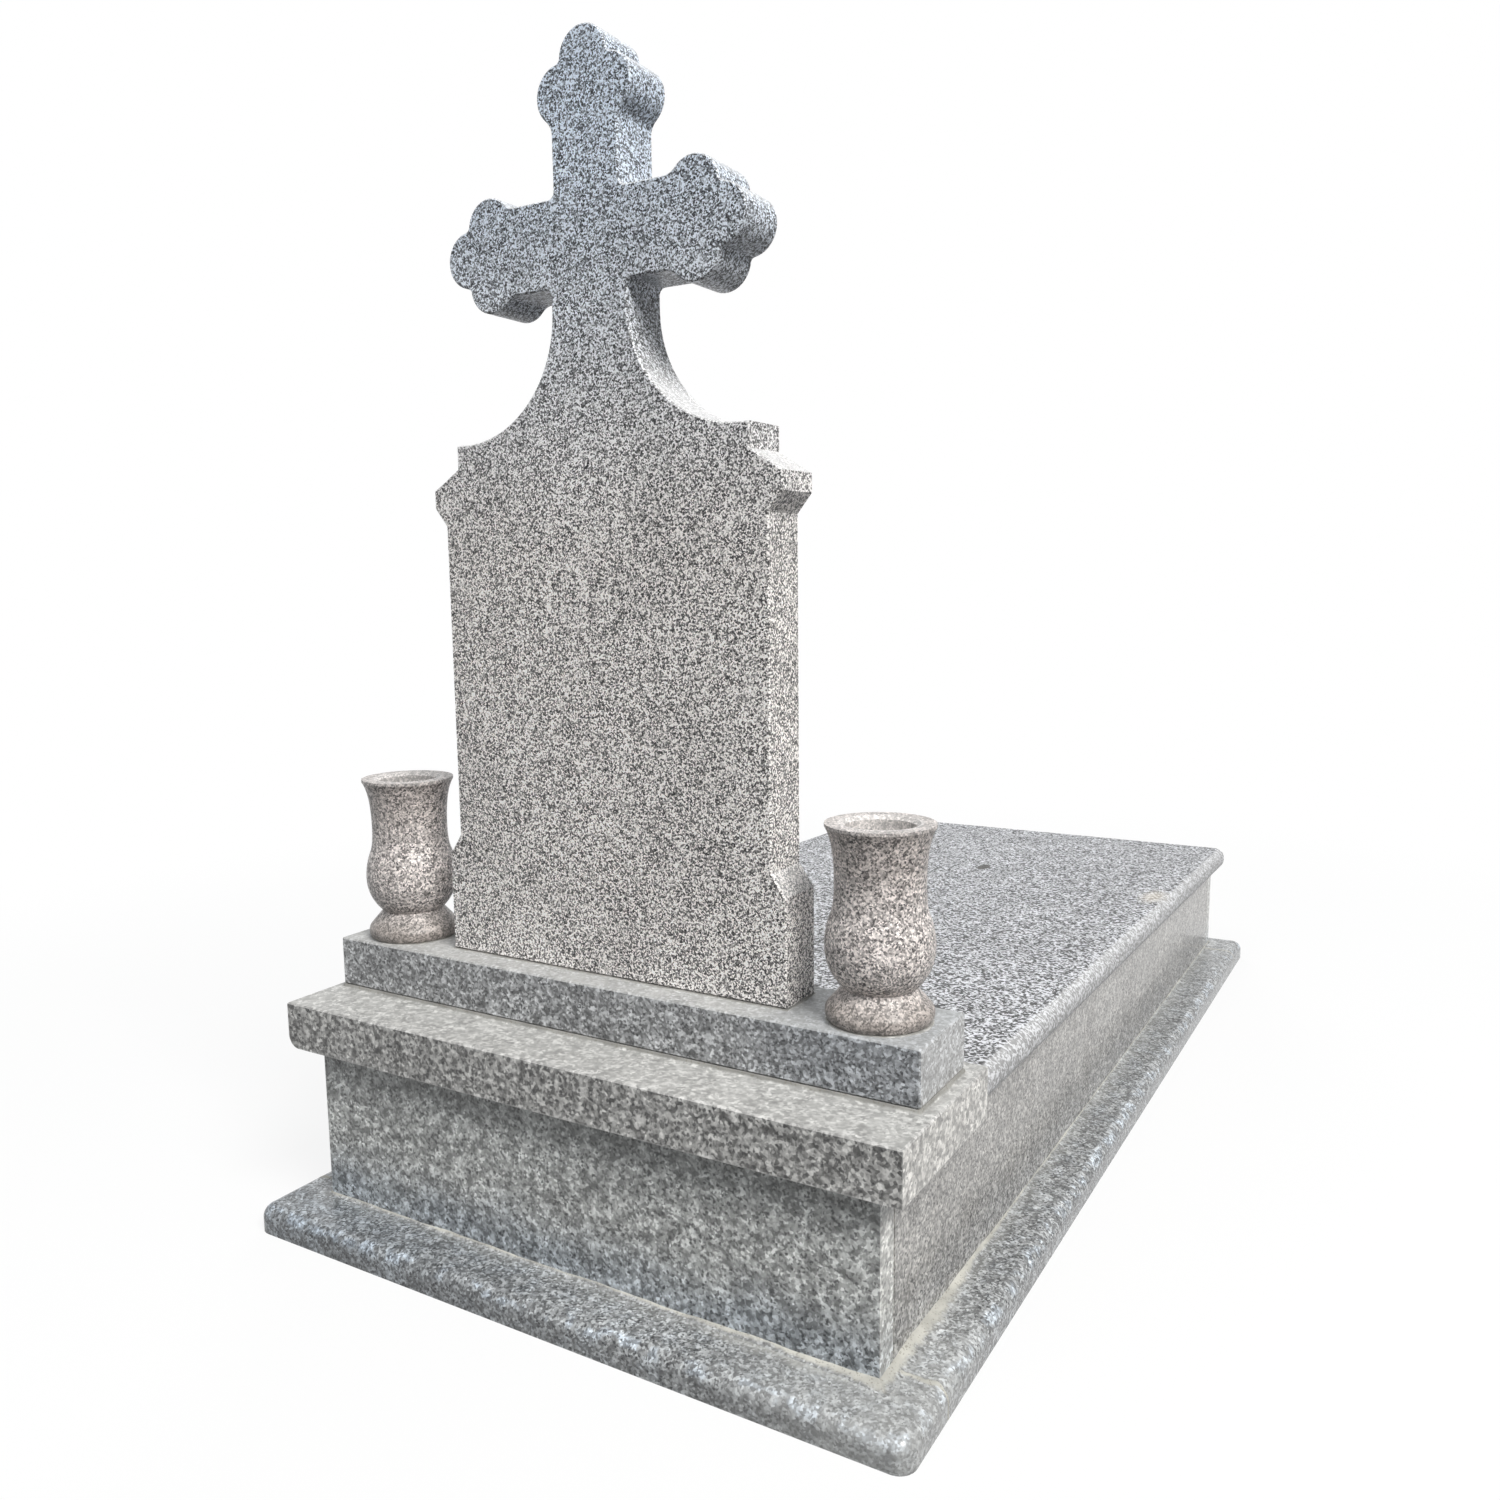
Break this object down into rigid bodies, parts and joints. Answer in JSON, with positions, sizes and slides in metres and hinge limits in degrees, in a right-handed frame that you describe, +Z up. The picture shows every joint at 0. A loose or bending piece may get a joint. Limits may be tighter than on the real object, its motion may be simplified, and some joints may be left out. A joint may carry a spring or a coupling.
{
  "type": "granite grave monument",
  "caption": "Granite grave monument: kerb, panelled box, sloping cover slab, head slab with plinth, upright stela with budded cross, and turned vases.",
  "frame": {"origin": "on the ground at the middle of the kerb's underside", "axes": "+X across the grave to the right as seen from the head end, +Y from the head end with the stela to the foot end, +Z up"},
  "size_m": [1.1, 2.245, 1.7145],
  "materials": {
    "kerb_granite": "polished salt and pepper granite",
    "panel_granite": "polished salt and pepper granite",
    "slab_granite": "polished salt and pepper granite",
    "stela_granite": "polished salt and pepper granite",
    "vase_granite": "polished pinkish grey granite",
    "mortar": "dry pale beige mortar"
  },
  "bodies": {
    "root": {"kerb_head": "kerb_granite", "kerb_foot": "kerb_granite", "kerb_right": "kerb_granite", "kerb_left": "kerb_granite", "panel_head": "panel_granite", "panel_foot": "panel_granite", "panel_right": "panel_granite", "panel_left": "panel_granite", "kerb_seam_head_right": "mortar", "kerb_seam_head_left": "mortar", "kerb_seam_foot_right": "mortar", "kerb_seam_foot_left": "mortar", "panel_seam_head_right": "mortar", "panel_seam_head_left": "mortar", "panel_seam_foot_right": "mortar", "panel_seam_foot_left": "mortar", "mortar_bead_head": "mortar", "mortar_bead_foot": "mortar", "mortar_bead_right": "mortar", "mortar_bead_left": "mortar", "head_slab": "slab_granite", "cover_slab": "slab_granite", "slab_seam": "mortar", "plinth_bed": "mortar", "plinth": "slab_granite", "stela_bed": "mortar", "stela": "stela_granite", "vase_bed_right": "mortar", "vase_bed_left": "mortar", "vase_right": "vase_granite", "vase_left": "vase_granite"}
  },
  "joints": []
}
